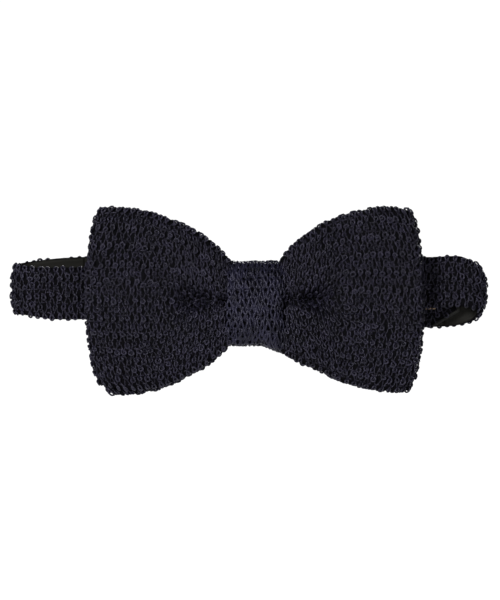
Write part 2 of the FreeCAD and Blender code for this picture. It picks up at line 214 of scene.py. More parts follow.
YARN_SIDES = 6
SAMPLES = 20               # points in one stitch
GUIDE_STEP = 0.25          # between the points that true distances along a row are read from
LEAST_POINTS = 3           # a shorter piece of a row is left out
LOOP_WANDER = 0.26         # how far the loops lie from the lattice, as a standard deviation
LIFT_WANDER = 0.10         # the same for their heights
ROW_SWING = 0.36           # how far neighbouring loops of a row stand up and down in turn
BEND_TUCK = 0.35           # how far loops are pulled down onto the cloth where it faces sideways
SELVEDGE_NARROW, SELVEDGE_STOUT = 0.9, 1.1    # the outermost rows' loops against the others
BINDER_RADIUS, BINDER_SIDES, BINDER_HEIGHT = 0.2, 5, -0.26
BINDER_STEP, BINDER_WANDER_STEP = 0.1, 0.4    # in stitches
BINDER_WANDER = 0.25


class Stitch:
    """One kind of stitch: its lattice, and its yarn's place as it turns through one loop.

    offsets takes the angle turned through, the loop's own irregularities, the side that it leans to and the
    sense in which it opens, and gives distances along and across the row and a height.
    """

    def __init__(self, pitch, row_pitch, radius, jitter=1.0):
        self.pitch, self.row_pitch, self.radius, self.jitter = pitch, row_pitch, radius, jitter


class RingStitch(Stitch):
    """The yarn curls forward into a small ring, and passes on behind to the next one."""

    staggered = True
    head_height, leg_drop, lean_height = 0.34, 0.9, 0.30

    def __init__(self, pitch, row_pitch, radius, wide, tall, edge_out, jitter=1.0):
        super().__init__(pitch, row_pitch, radius, jitter)
        self.wide, self.tall, self.edge_out = wide, tall, edge_out

    def offsets(self, angle, wide, tall, twist, lean, upward):
        along = -self.wide * (1 + 0.09 * wide) * np.sin(angle)
        across = -self.tall * (1 + 0.11 * tall) * np.cos(angle)
        turned = 0.30 * twist * smooth(0.5 + np.cos(angle))
        along, across = along + across * turned, across - along * turned * 0.6
        on_leg = smooth((-np.cos(angle) - 0.15) / 0.7)
        height = self.head_height - self.leg_drop * on_leg + lean * self.lean_height * np.sin(angle)
        return along, across * upward, height


class PlainStitch(Stitch):
    """Plain knitting: each loop stands on the one below, and its two legs show as a V."""

    staggered = False

    def __init__(self, pitch, row_pitch, radius, jitter, sunk=0.0):
        super().__init__(pitch, row_pitch, radius, jitter)
        self.sunk = sunk

    def offsets(self, angle, wide, tall, twist, lean, upward):
        along = 0.26 * self.pitch * (1 + 0.12 * wide) * np.sin(2 * angle)
        across = 0.57 * self.row_pitch * (1 + 0.05 * tall) * np.cos(angle)
        height = -0.05 - self.sunk - 0.42 * np.cos(2 * angle)
        return along, across, height


BAND_STITCH = RingStitch(2.7, 2.88, 0.305, 1.36, 0.98, 0.05, jitter=0.75)
WING_STITCH = RingStitch(2.55, 3.07, 0.30, 1.30, 0.98, 0.3)
KNOT_STITCH = PlainStitch(2.42, 3.7, 0.40, 1.4)
KNOT_INNER_STITCH = PlainStitch(2.42, 3.7, 0.38, 1.6, sunk=0.38)


def lay_tube(parts, path, ups, radius, sides, base, band):
    """A tube of yarn along a path, shared out to the parts whose stretch of the row it is in.

    Each part is a mesh and its stretch's start and end. base is each point's distance along the row, and
    band the strip of the bake's UV map that the tube takes.
    """
    tangent = unit(np.gradient(path, axis=0))
    side = unit(np.cross(tangent, ups))
    up = np.cross(side, tangent)
    turn = TAU * np.arange(sides) / sides
    ring = np.cos(turn)[None, :, None] * side[:, None] + np.sin(turn)[None, :, None] * up[:, None]
    points = path[:, None] + ring * np.reshape(radius, (-1, 1, 1))
    length = lengths(path)
    around = np.arange(sides + 1) / sides
    for maker, start, end in parts:
        inside = np.flatnonzero((base >= start) & (base <= end))
        if len(inside) < LEAST_POINTS:
            continue
        first, last = inside[0], min(inside[-1] + 2, len(path))
        run = length[first:last]
        share = (run - run[0]) / (run[-1] - run[0])
        cloth = np.stack(np.broadcast_arrays(run[:, None], around[None]), axis=-1)
        bake = np.stack(np.broadcast_arrays(0.002 + 0.996 * share[:, None],
                                            band[0] + 0.92 * (band[1] - band[0]) * around[None]), axis=-1)
        maker.loop_grid(points[first:last], cloth, bake)


def whole(maker):
    """The parts of a row that isn't cut."""
    return [(maker, -math.inf, math.inf)]


def row_guide(surface, across, start, end, anchor):
    """Distances along one row: the surface's own, and the true ones, which are zero at the anchor."""
    u = np.linspace(start, end, max(int((end - start) / GUIDE_STEP), 8))
    points, _ = surface.place(u, np.full_like(u, across), np.zeros_like(u))
    true = lengths(points)
    return u, true - np.interp(anchor, u, true)


def lay_row(surface, stitch, parts, across, start, end, anchor, number, rows):
    """One row of stitches from start to end, cut into parts. The lattice is true at the anchor."""
    guide_u, guide_true = row_guide(surface, across, start, end, anchor)
    shift = 0.5 * stitch.pitch * (number % 2) * stitch.staggered
    first = math.ceil((guide_true[0] - shift) / stitch.pitch + 0.5)
    last = math.floor((guide_true[-1] - shift) / stitch.pitch - 0.5)
    if last <= first:
        return
    turns = np.arange(first - 0.5, last + 0.5 + 1e-6, 1.0 / SAMPLES)
    centres = np.arange(first - 1, last + 2)
    spread = stitch.jitter * rng.normal(size=(6, len(centres)))
    wide, tall, twist, aside, up, lift = (np.interp(turns, centres, values) for values in spread)
    lean, upward = (-1 if number % 2 else 1), (-1 if across > 0 else 1)
    along, over, height = stitch.offsets(turns * TAU, wide, tall, twist, lean, upward)
    true = turns * stitch.pitch + shift
    outermost = number in (0, rows - 1) and stitch.staggered
    if outermost:
        along, over = along * SELVEDGE_NARROW, over + stitch.edge_out * np.sign(across)
    else:
        over = over + ROW_SWING * np.cos(turns * math.pi) * stitch.staggered
    u = np.interp(true + along + LOOP_WANDER * aside, guide_true, guide_u)
    path, ups = surface.place(u, across + over + LOOP_WANDER * up, height + LIFT_WANDER * lift)
    path = path - BEND_TUCK * ups * (1 - np.abs(ups[:, 1:2])) ** 2 * stitch.staggered
    base = np.interp(true, guide_true, guide_u)
    radius = stitch.radius * (SELVEDGE_STOUT if outermost else 1.0) * (1 + 0.05 * wide)
    lay_tube(parts, path, ups, radius, YARN_SIDES, base, (number / rows, (number + 0.62) / rows))


def lay_binder(surface, stitch, parts, across, start, end, anchor, number, rows):
    """The yarn that zigzags behind the loops, from one row to the next."""
    guide_u, guide_true = row_guide(surface, across, start, end, anchor)
    shift = 0.5 * stitch.pitch * (number % 2)
    turns = np.arange((guide_true[0] - shift) / stitch.pitch, (guide_true[-1] - shift) / stitch.pitch,
                      BINDER_STEP)
    if len(turns) < 4:
        return
    true = turns * stitch.pitch + shift
    over = 0.5 * stitch.row_pitch * (1 - 0.95 * np.cos(turns * TAU))
    places = np.arange(turns[0], turns[-1] + BINDER_WANDER_STEP, BINDER_WANDER_STEP)
    aside, up, lift = (np.interp(turns, places, values) for values in rng.normal(size=(3, len(places))))
    base = np.interp(true, guide_true, guide_u)
    path, ups = surface.place(base + BINDER_WANDER * aside, across + over + BINDER_WANDER * up,
                              BINDER_HEIGHT + LIFT_WANDER * lift)
    lay_tube(parts, path, ups, BINDER_RADIUS, BINDER_SIDES, base,
             ((number + 0.64) / rows, (number + 0.98) / rows))


def lay_cloth(surface, along, limits, height, thick, columns):
    """The mesh of a thin closed cloth over a surface. limits are its two edges at each step along."""
    maker = MeshMaker()
    share = np.linspace(0, 1, columns)
    v = limits[:, :1] + (limits[:, 1:] - limits[:, :1]) * share[None]
    u = np.broadcast_to(along[:, None], v.shape)
    height = np.broadcast_to(np.reshape(height, (-1, 1)), v.shape)
    front, normals = surface.place(u, v, height + thick / 2)
    if (np.cross(np.gradient(front, axis=0), np.gradient(front, axis=1)) * normals).sum() < 0:
        v, front = v[:, ::-1], front[:, ::-1]
    back, _ = surface.place(u, v, height - thick / 2)
    points = np.concatenate([front, back[:, ::-1]], axis=1)
    cloth = np.stack([np.concatenate([w, w[:, ::-1], w[:, :1]], axis=1) for w in (u, v)], axis=-1)
    turn = np.linspace(0.005, 0.995, points.shape[1] + 1)
    run = (along - along[0]) / (along[-1] - along[0])
    bake = np.stack(np.broadcast_arrays(0.005 + 0.99 * run[:, None], turn[None]), axis=-1)
    maker.loop_grid(points, cloth, bake)
    return maker


def even_limits(half, steps):
    """A cloth's two edges at an even distance from the middle."""
    return np.tile(np.array([[-half, half]]), (steps, 1))


# -------------------- materials

def new_material(name):
    """A material, its node tree and its shader."""
    material = bpy.data.materials.new(name)
    material.use_nodes = True
    return material, material.node_tree, material.node_tree.nodes["Principled BSDF"]


def put(tree, node, values):
    """Sets inputs of a node: each to a plain value, or to another node's output."""
    for name, value in values.items():
        if isinstance(value, bpy.types.NodeSocket):
            tree.links.new(value, node.inputs[name])
        else:
            node.inputs[name].default_value = value


def added(tree, kind, values):
    """A new node with some of its inputs set."""
    node = tree.nodes.new("ShaderNode" + kind)
    put(tree, node, values)
    return node


def shades(tree, source, dark, light, low_at=0.3, high_at=0.7):
    """A colour ramp between two colours over a node's output."""
    ramp = tree.nodes.new("ShaderNodeValToRGB")
    ramp.color_ramp.elements[0].position, ramp.color_ramp.elements[1].position = low_at, high_at
    ramp.color_ramp.elements[0].color = (*dark, 1)
    ramp.color_ramp.elements[1].color = (*light, 1)
    tree.links.new(source, ramp.inputs[0])
    return ramp.outputs[0]


def noise(tree, scale, detail, vector):
    return added(tree, "TexNoise", {"Scale": scale, "Detail": detail, "Vector": vector}).outputs["Fac"]


def maths(tree, kind, first, second=0.0):
    """A maths node over two sockets or numbers."""
    node = added(tree, "Math", {0: first, 1: second})
    node.operation = kind
    return node.outputs[0]


def ranged(tree, source, least, most):
    """A node's output from 0 to 1, brought to a range."""
    return added(tree, "MapRange", {"To Min": least, "To Max": most, "Value": source}).outputs[0]


def object_place(tree):
    return tree.nodes.new("ShaderNodeTexCoord").outputs["Object"]


def cloth_place(tree):
    """The cloth's own UV map, in millimetres, whole and as its two distances."""
    uv = tree.nodes.new("ShaderNodeUVMap")
    uv.uv_map = "cloth"
    split = added(tree, "SeparateXYZ", {0: uv.outputs[0]})
    return uv.outputs[0], split.outputs["X"], split.outputs["Y"]


def scaled(tree, place, scale):
    return added(tree, "Mapping", {"Scale": scale, "Vector": place}).outputs[0]


def waves(tree, source, length):
    """A sine wave of a given length over a distance."""
    return maths(tree, "SINE", maths(tree, "MULTIPLY", source, TAU / length))


def bumped(tree, height, strength, distance):
    node = added(tree, "Bump", {"Strength": strength, "Distance": distance, "Height": height})
    return node.outputs["Normal"]


def yarn(name, dark, light, ply=1.1):
    """Silky twisted yarn: two plies as slanted ridges, fine fibres, and slow changes of shade."""
    material, tree, shader = new_material(name)
    _, run, around = cloth_place(tree)
    turns = maths(tree, "DIVIDE", run, ply)
    ridge = waves(tree, maths(tree, "ADD", turns, maths(tree, "MULTIPLY", around, 2.0)), 1.0)
    place = object_place(tree)
    fibre = noise(tree, 5200, 3, place)
    slow = noise(tree, 260, 3, place)
    height = maths(tree, "ADD", ridge, maths(tree, "MULTIPLY", fibre, 1.2))
    mixed = maths(tree, "ADD", maths(tree, "MULTIPLY", ridge, 0.07), slow)
    put(tree, shader, {
        "Base Color": shades(tree, mixed, dark, light, 0.36, 0.66),
        "Roughness": ranged(tree, fibre, 0.32, 0.5),
        "Normal": bumped(tree, height, 0.55, 0.00008),
        "Sheen Weight": 0.05,
        "Sheen Roughness": 0.4,
        "Sheen Tint": (0.50, 0.50, 0.85, 1),
        "Specular Tint": (0.82, 0.80, 1.0, 1),
        "Specular IOR Level": 0.3})
    return material


def painted_shade_ground_cloth(name, dark, light):
    """The knit's inner face behind the loops, seen between them and on the back; its near-black colour is
    painted shade for the gaps between the loops.
    """
    material, tree, shader = new_material(name)
    place = object_place(tree)
    grain = added(tree, "TexVoronoi", {"Scale": 900, "Vector": place}).outputs["Distance"]
    put(tree, shader, {
        "Base Color": shades(tree, noise(tree, 500, 4, place), dark, light),
        "Normal": bumped(tree, grain, 0.6, 0.0002),
        "Roughness": 0.85,
        "Specular IOR Level": 0.04})
    return material


def satin(name, dark, light):
    """Smooth lining tape: a fine weave across the strip, faintly streaked along it."""
    material, tree, shader = new_material(name)
    place, along, across = cloth_place(tree)
    warp = waves(tree, across, 0.32)
    weave = maths(tree, "ADD", warp, maths(tree, "MULTIPLY", waves(tree, along, 0.45), 0.6))
    streak = noise(tree, 1.0, 4, scaled(tree, place, (0.08, 1.4, 1)))
    put(tree, shader, {
        "Base Color": shades(tree, streak, dark, light),
        "Normal": bumped(tree, weave, 0.25, 0.00004),
        "Roughness": ranged(tree, streak, 0.6, 0.8),
        "Specular IOR Level": 0.14})
    return material


def sewing_thread(name, dark, light):
    """Fine sewing thread with a tight slanted twist."""
    material, tree, shader = new_material(name)
    place = object_place(tree)
    twist = added(tree, "TexWave", {"Scale": 1100, "Distortion": 1.5, "Vector": place})
    twist.bands_direction = "DIAGONAL"
    put(tree, shader, {
        "Base Color": shades(tree, noise(tree, 900, 2, place), dark, light),
        "Normal": bumped(tree, twist.outputs["Fac"], 0.5, 0.00006),
        "Roughness": 0.55})
    return material


def nickel(name):
    """Satin nickel wire and plate: brushed, with duller handled patches."""
    material, tree, shader = new_material(name)
    place = object_place(tree)
    brushed = noise(tree, 1.0, 3, scaled(tree, place, (120, 2600, 2600)))
    patches = noise(tree, 240, 4, place)
    put(tree, shader, {
        "Base Color": shades(tree, patches, (0.42, 0.42, 0.43), (0.60, 0.60, 0.60)),
        "Roughness": ranged(tree, patches, 0.22, 0.42),
        "Normal": bumped(tree, brushed, 0.2, 0.00003),
        "Metallic": 1.0})
    return material


NAVY_DARK, NAVY_LIGHT = (0.0020, 0.0018, 0.0034), (0.0115, 0.0102, 0.0190)
BAND_YARN = yarn("band_yarn", NAVY_DARK, NAVY_LIGHT)
WING_YARN = yarn("wing_yarn", NAVY_DARK, NAVY_LIGHT)
KNOT_YARN = yarn("knot_yarn", (0.0028, 0.0026, 0.0056), (0.0112, 0.0106, 0.0225), ply=1.3)
# the ground cloth's near-black colour is painted shade: it stands in for the shade in the gaps between the
# loops
GROUND_PAINTED_SHADE = painted_shade_ground_cloth("painted_shade_ground_cloth", (0.0010, 0.0009, 0.0013), (0.0022, 0.0021, 0.0031))
LINING = satin("lining_satin", (0.0040, 0.0039, 0.0028), (0.0066, 0.0062, 0.0046))
# the binding tape is grey satin, paler than the lining; part of that paleness is a painted highlight along
# the tail's slanted edge
BINDING_AND_PAINTED_HIGHLIGHT = satin("binding_satin_painted_highlight", (0.005, 0.005, 0.0045), (0.013, 0.013, 0.012))
NAVY_THREAD = sewing_thread("navy_thread", (0.010, 0.010, 0.016), (0.022, 0.022, 0.034))
TAN_THREAD = sewing_thread("tan_thread", (0.10, 0.06, 0.03), (0.17, 0.11, 0.06))
NICKEL = nickel("satin_nickel")


# -------------------- the wings

WING_ROWS = 21
WING_HALF = WING_ROWS * WING_STITCH.row_pitch / 2
WING_EDGE = 8.5            # the wings' inner ends, inside the knot
PLEAT_FULL, PLEAT_END = 9, 28.5    # where the pleat hides its whole share, and where it runs out
PLEAT_TAKES, PLEAT_EASE = 16.5, 1.1    # how much of a half's width it hides, and how that shrinks
CROWN_LEAST, CROWN_MORE, CROWN_X, CROWN_LONG = 0.25, 1.7, 18, 8.5    # the bulge beside the pleat
KNOT_DIP, EDGE_CURL = 0.8, 0.9
WING_TURN = 2.1            # radius of the fold at a wing's outer end
KNITTED_RETURN = 9.0       # how far the loops run on past that fold
SELVEDGE_IN = 0.45         # the ground cloth stops short of the selvedge's loops


class Wing:
    """One side of one layer of the bow: a crowned sheet with a deep pleat at the knot, folded at its end."""

    def __init__(self, name, side, facing, top, bottom, end, corner, pleat_z, node, seed):
        self.name, self.side, self.facing = name, side, facing
        self.top, self.bottom, self.end, self.corner = list(top), list(bottom), end, corner
        self.pleat_z, self.node, self.seed = pleat_z, node, seed
        outer_y = WING_FRONT_Y if facing < 0 else WING_BACK_Y
        self.base_y = outer_y - facing * YARN_PROUD
        self.deepest = abs(self.base_y - WING_MIDDLE_Y) - 0.9
        self.make_section_table()
        self.make_surface()

    def hidden(self, x):
        """How much of each half's width is out of sight in the pleat."""
        return PLEAT_TAKES * np.clip((PLEAT_END - x) / (PLEAT_END - PLEAT_FULL), 0, 2) ** PLEAT_EASE

    def relief(self, x, a, half):
        """How far the sheet stands out from its base plane, at a distance a from the pleat's middle."""
        t = a / half
        crown = CROWN_LEAST + CROWN_MORE * np.exp(-((x - CROWN_X) / CROWN_LONG) ** 2)
        bulge = crown * np.sin(math.pi * np.clip(t, 0, 1) ** 0.75)
        dip = -KNOT_DIP * smooth((12.5 - x) / 3.5)
        curl = -EDGE_CURL * smooth((t - 0.86) / 0.14)
        slow = (0.28 * np.sin(0.19 * x + 0.16 * a + self.seed)
                + 0.2 * np.sin(0.31 * x - 0.11 * a + 2 * self.seed))
        depth = self.deepest * smooth((PLEAT_END + 4 - x) / 13) * (1 - 0.85 * smooth((20.5 - x) / 7))
        width = 2.6 + 5.0 * smooth((x - 12) / 17)
        return bulge + dip + curl + slow - depth * (1 - smooth(a / width))

    def make_section_table(self):
        """Height and relief over x and the distance across, true to the cloth's own width."""
        self.xs = np.linspace(6, 62, 113)
        self.vs = np.linspace(-WING_HALF, WING_HALF, 261)
        table = np.zeros((len(self.xs), len(self.vs), 2))
        for i, x in enumerate(self.xs):
            hidden = min(self.hidden(x), WING_HALF * 0.8)
            for sign, outline in ((1, self.top), (-1, self.bottom)):
                half = float(through(outline, np.array([x]))[0]) - sign * self.pleat_z
                a = np.linspace(0, half, 240)
                relief = self.relief(x, a, half)
                across = lengths(np.stack([a, relief], axis=1))
                of_side = np.flatnonzero(self.vs * sign >= 0)
                share = np.clip((np.abs(self.vs[of_side]) - hidden) / (WING_HALF - hidden), 0, 1)
                place = np.interp(share * across[-1], across, a)
                table[i, of_side, 0] = self.pleat_z + sign * place
                table[i, of_side, 1] = np.interp(place, a, relief)
        self.table = table

    def make_surface(self):
        """Points along the row: out over the face, round the fold at the end, and back on the other face."""
        self.reach = self.end - WING_EDGE - WING_TURN
        self.turn_long = math.pi * WING_TURN
        u = np.concatenate([np.linspace(0, self.reach, 110)[:-1],
                            self.reach + np.linspace(0, self.turn_long, 12)[:-1],
                            self.reach + self.turn_long + np.linspace(0, self.reach, 60)])
        shape = (len(u), len(self.vs))
        share = self.vs / WING_HALF
        trim = self.corner(share)
        centre = self.end - WING_TURN - trim
        past = np.clip(u - self.reach, 0, self.turn_long)
        angle = (past / WING_TURN)[:, None]
        back = np.clip(u - self.reach - self.turn_long, 0, None)[:, None]
        pulled = trim[None] * smooth(u / self.reach)[:, None]
        out = np.minimum(u, self.reach)[:, None] + WING_EDGE - pulled
        x = np.where(u[:, None] <= self.reach, out, centre[None] - back + WING_TURN * np.sin(angle))
        section = read_grid(self.table, self.xs, self.vs, x, np.broadcast_to(self.vs, shape))
        kept = np.where(back > 0, 1 - 0.75 * smooth(back / 12), 1.0)
        depth = WING_TURN * (1 - np.cos(angle))
        y = self.base_y + self.facing * (section[..., 1] * kept - depth)
        points = np.stack([self.side * x, y, section[..., 0]], axis=-1)
        self.surface = Surface(points, u, self.vs, (0, self.facing, 0))

    def row_start(self, across):
        """Where along the row a given row comes out of the pleat."""
        shown = min((abs(across) + 0.9) / PLEAT_TAKES, 1.2)
        x = PLEAT_END - (PLEAT_END - PLEAT_FULL) * shown ** (1 / PLEAT_EASE)
        return max(x - WING_EDGE, 0.0)

    def build(self):
        maker = MeshMaker()
        for number in range(WING_ROWS):
            across = (number + 0.5) * WING_STITCH.row_pitch - WING_HALF
            outermost = min(number, WING_ROWS - 1 - number) < 2
            run_on = self.reach - 4 if outermost else KNITTED_RETURN
            end = self.reach + self.turn_long + run_on
            start = self.row_start(across)
            row = (self.surface, WING_STITCH, whole(maker), across, start, end, self.reach,
                   number, WING_ROWS)
            lay_row(*row)
            if number < WING_ROWS - 1:
                lay_binder(*row)
        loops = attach(maker.build(self.name + "_yarn", WING_YARN), "bow")
        along = np.concatenate([np.linspace(0, self.reach, 56)[:-1],
                                self.reach + np.linspace(0, self.turn_long, 9)[:-1],
                                self.reach + self.turn_long + np.linspace(0, self.reach, 36)])
        limits = even_limits(WING_HALF - SELVEDGE_IN, len(along))
        cloth = lay_cloth(self.surface, along, limits, height=-0.48, thick=0.4, columns=61)
        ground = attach(cloth.build(self.name + "_cloth", GROUND_PAINTED_SHADE), "bow")
        return ground, loops


def front_corner(share):
    """How much shorter a row is than the middle one, for a wing of the front layer."""
    return 3.4 * share ** 2 + 1.5 * np.abs(share) ** 9


def back_corner(share):
    """The same for the back layer, whose lower corner is rounder."""
    return 3.2 * share ** 2 + np.where(share < 0, 4.6, 1.8) * np.abs(share) ** 7


# a wing's outlines, as distances from the bow's middle at these places along it
LEFT_TOP, LEFT_BOTTOM = (6, 13, 18, 23, 29, 35, 42, 51, 60), (6, 13, 17, 25, 30, 36, 43, 51, 60)
RIGHT_TOP, RIGHT_BOTTOM = (6, 13, 20, 24, 29, 37, 43, 49, 60), (6, 12, 16, 24, 29, 36, 45, 53, 60)
WINGS = [
    Wing("front_bow_left", -1, -1,
         zip(LEFT_TOP, (11.5, 19.2, 23.3, 26.3, 28.8, 31.3, 32.6, 33.2, 32.4)),
         zip(LEFT_BOTTOM, (11.0, 18.6, 21.9, 26.2, 28.6, 30.4, 31.0, 29.9, 27.0)),
         59.2, front_corner, 0.6, "front_bow", 0.4),
    Wing("front_bow_right", 1, -1,
         zip(RIGHT_TOP, (11.5, 20.1, 25.4, 27.9, 30.0, 32.2, 33.3, 33.1, 31.0)),
         zip((6, 9, *RIGHT_BOTTOM[1:]), (15.6, 18.0, 19.6, 21.4, 24.7, 27.3, 29.6, 31.3, 31.4, 30.6)),
         58.0, front_corner, 0.9, "front_bow", 1.9),
    Wing("back_bow_left", -1, 1,
         zip(LEFT_TOP, (11.0, 18.6, 22.7, 25.8, 28.4, 30.8, 32.1, 32.5, 31.8)),
         zip(LEFT_BOTTOM, (12.0, 19.4, 22.6, 26.9, 29.4, 31.2, 32.4, 32.3, 31.0)),
         58.2, back_corner, 0.3, "back_bow", 3.1),
    Wing("back_bow_right", 1, 1,
         zip(RIGHT_TOP, (11.0, 19.5, 24.8, 27.3, 29.4, 31.6, 32.6, 32.5, 31.4)),
         zip(RIGHT_BOTTOM, (12.8, 19.4, 21.8, 25.1, 27.8, 29.9, 31.0, 30.4, 29.0)),
         59.0, front_corner, 0.5, "back_bow", 4.4),
]


def build_bow():
    for wing in WINGS:
        ground, loops = wing.build()
        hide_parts(wing.node)
        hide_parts(wing.node)


build_bow()


# -------------------- the knot

KNOT_HALF = KNOT_HIGH[0] - 0.35    # half its width
KNOT_CORNER = 10.5         # how tall its rounded corners are


def knot_ring(low_y, high_y, low_z, high_z):
    """The wrap's section: a rounded loop of places and their outward directions, both as (y, z)."""
    deep, tall = (high_y - low_y) / 2 - 0.3, KNOT_CORNER
    steps = np.linspace(0, math.pi / 2, 14)
    outline = []
    for y, z, start in ((high_y - deep, high_z - tall, 0), (low_y + deep, high_z - tall, 90),
                        (low_y + deep, low_z + tall, 180), (high_y - deep, low_z + tall, 270)):
        angle = math.radians(start) + steps
        outline.append(np.stack([y + deep * np.cos(angle), z + tall * np.sin(angle)], axis=1))
    outline = np.concatenate(outline + [outline[0][:1]])
    around = lengths(outline)
    across = np.linspace(0, around[-1], 240)
    ring = np.stack([np.interp(across, around, outline[:, k]) for k in (0, 1)], axis=1)
    direction = unit(np.gradient(ring, axis=0))
    return across, ring, np.stack([direction[:, 1], -direction[:, 0]], axis=1)


def knot_surface():
    """The wrap's guide surface, swollen and creased in front, with its ends turned in."""
    low_y, high_y = KNOT_LOW[1] + YARN_PROUD, KNOT_HIGH[1] - YARN_PROUD
    low_z, high_z = KNOT_LOW[2] + YARN_PROUD, KNOT_HIGH[2] - YARN_PROUD
    across, ring, outward = knot_ring(low_y, high_y, low_z, high_z)
    x = np.linspace(-KNOT_HALF, KNOT_HALF, 61)
    share = np.abs(x) / KNOT_HALF
    turned_in = -2.3 * smooth((share - 0.62) / 0.38)
    facing = smooth(-outward[:, 0])[None]
    swell = (1 - share ** 2)[:, None] * 0.6 * facing
    folds = 0.22 * np.sin(0.75 * x + 0.8)[:, None] * facing * np.sin(across / across[-1] * 9)[None]
    height = turned_in[:, None] * (0.25 + 0.75 * facing) + swell + folds
    centre_z = (low_z + high_z) / 2
    reach = np.abs(ring[:, 1] - centre_z) / (high_z - centre_z)
    waist = 1 - 0.03 * (1 - reach ** 2) + 0.08 * smooth((reach - 0.55) / 0.4)
    pulled_down = -(0.3 + 0.44 * np.clip(x - 2, 0, None))[:, None] * smooth((-ring[:, 1] - 7) / 7)[None]
    saddle = -0.3 * (1 - share ** 2)[:, None] * smooth((ring[:, 1] - 8) / 5)[None]
    points = np.stack([
        x[:, None] * waist[None],
        ring[None, :, 0] + outward[None, :, 0] * height,
        ring[None, :, 1] + outward[None, :, 1] * height + pulled_down + saddle], axis=-1)
    return Surface(points, x + KNOT_HALF, across, np.insert(outward, 0, 0, axis=1))


def build_knot():
    """The wrap: plain knitting round the middle, its columns upright."""
    surface = knot_surface()
    wide, long = 2 * KNOT_HALF, surface.across[-1]
    rows = round(long / KNOT_STITCH.row_pitch)
    pitch = long / rows
    maker = MeshMaker()
    parts = whole(maker)
    between = (wide + KNOT_STITCH.pitch) / 2
    for number in range(rows):
        lay_row(surface, KNOT_STITCH, parts, (number + 0.5) * pitch, 0, wide, wide / 2, number, rows)
        if number:
            lay_row(surface, KNOT_INNER_STITCH, parts, number * pitch, 0, wide, between, number, rows)
    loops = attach(maker.build("knot_yarn", KNOT_YARN), "bow")
    along = np.linspace(0.6, wide - 0.6, 30)
    limits = np.broadcast_to(np.array([[0.0, long]]), (len(along), 2))
    cloth = lay_cloth(surface, along, limits, height=-0.95, thick=0.5, columns=121)
    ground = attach(cloth.build("knot_cloth", GROUND_PAINTED_SHADE), "bow")
    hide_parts("knot_wrap")
    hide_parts("knot_wrap")


build_knot()


# -------------------- the neckband

BAND_ROWS = 6
STRIP_STEP = 0.8
GROUND_HEIGHT, GROUND_THICK = -0.68, 0.8
LINING_HEIGHT, LINING_THICK = YARN_PROUD - KNIT_THICK + 0.03, 0.36
GROUND_LOOK, LINING_LOOK = (GROUND_PAINTED_SHADE, "band_knit"), (LINING, "lining_tape")


class Strip:
    """A long knitted strip that runs along straight stretches and half turns in plan."""

    def __init__(self, start, heading, spin):
        self.plan = [np.array([start], float)]
        self.heading, self.spin = heading, spin

    def run_to(self, x):
        last = self.plan[-1][-1]
        steps = max(int(abs(x - last[0]) / STRIP_STEP), 2)
        self.plan.append(np.stack([np.linspace(last[0], x, steps), np.full(steps, last[1])], axis=1)[1:])

    def half_turn(self, radius):
        """A half turn to the strip's inner side."""
        last = self.plan[-1][-1]
        angle = np.linspace(0, math.pi, 24)[1:]
        self.plan.append(np.stack([last[0] + self.heading * radius * np.sin(angle),
                                   last[1] + self.spin * radius * (1 - np.cos(angle))], axis=1))
        self.heading, self.spin = -self.heading, -self.spin

    def make(self, height_at, half=BAND_HALF, folded=(0, 1, 0), slack=lambda x, along: (0 * x, 0 * x)):
        """Its surface. height_at gives the height of its middle at each step.

        folded is the first fold's start and length, and how far its edges pull in there. slack gives how far
        the upper and the lower edge are let out.
        """
        plan = np.concatenate(self.plan)
        along = lengths(plan)
        across = np.linspace(-half - 0.4, half + 0.4, 25)
        tangent = unit(np.gradient(plan, axis=0))
        front = -1 if plan[1, 0] > plan[0, 0] else 1
        normal = np.stack([-tangent[:, 1], tangent[:, 0]], axis=1) * front
        roll = -0.55 * smooth((np.abs(across) - half + 2.4) / 2.4)
        around = np.clip((along - folded[0] + 4) / (folded[1] + 8), 0, 1)
        roll = roll - folded[2] * np.sin(math.pi * around)[:, None] ** 2 * np.abs(across / half) ** 3
        wave = 0.10 * np.sin(along / 7.3) + 0.08 * np.sin(along / 3.1 + 1)
        z = height_at(plan, along)
        upper, lower = slack(plan[:, 0], along)
        share = np.clip(across / half, -1, 1)[None]
        spread = upper[:, None] * np.maximum(share, 0) + lower[:, None] * np.minimum(share, 0)
        points = np.stack(np.broadcast_arrays(
            plan[:, None, 0] + normal[:, None, 0] * roll,
            plan[:, None, 1] + normal[:, None, 1] * roll,
            z[:, None] + across[None] + wave[:, None] + spread), axis=-1)
        return Surface(points, along, across, (*normal[0], 0))


def knit_strip(surface, stretches, end_at):
    """Rows of loops along a strip, cut into the named stretches. end_at gives each row's end."""
    makers = {name: MeshMaker() for name, *_ in stretches}
    parts = [(makers[name], start, end) for name, start, end, *_ in stretches]
    for number in range(BAND_ROWS):
        across = (number + 0.5 - BAND_ROWS / 2) * BAND_STITCH.row_pitch
        row = (surface, BAND_STITCH, parts, across, 0.2, end_at(across), 0.0, number, BAND_ROWS)
        lay_row(*row)
        if number < BAND_ROWS - 1:
            lay_binder(*row)
    return makers


def add_layer(name, look, surface, along, limits, height, thick, columns, place):
    """One cloth of the neckband over a stretch of its surface. place puts it on its bodies."""
    material, slot = look
    piece = lay_cloth(surface, along, limits, height, thick, columns).build(name, material)
    place(piece)
    return piece


